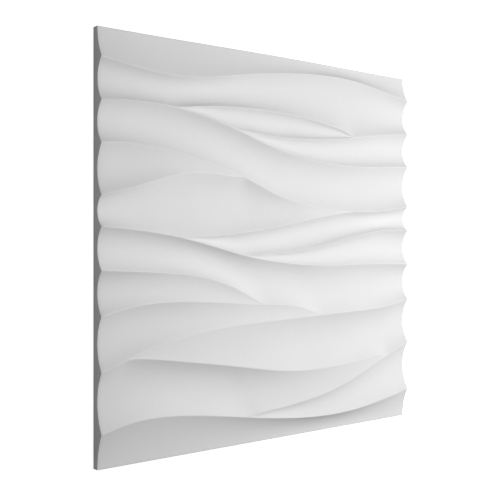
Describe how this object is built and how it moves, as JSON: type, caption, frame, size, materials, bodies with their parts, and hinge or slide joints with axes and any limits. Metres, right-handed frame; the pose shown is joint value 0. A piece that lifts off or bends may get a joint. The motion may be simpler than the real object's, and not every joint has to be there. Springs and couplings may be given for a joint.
{
  "type": "relief wall panel tile",
  "caption": "Square cast plaster wall tile with a flat back and a face of flowing dune-like ridges and hollow valleys that run on into the next tile.",
  "frame": {"origin": "centre of the flat back face, which rests on the floor", "axes": "+Z out of the relief face, away from the wall; +X along the foot of the tile from its left edge to its right edge as seen from the room; +Y towards the edge that is uppermost on the wall"},
  "size_m": [0.5, 0.5, 0.02],
  "materials": {
    "cast_gypsum": "matte"
  },
  "bodies": {
    "root": {"wave_panel_tile": "cast_gypsum"}
  },
  "joints": []
}
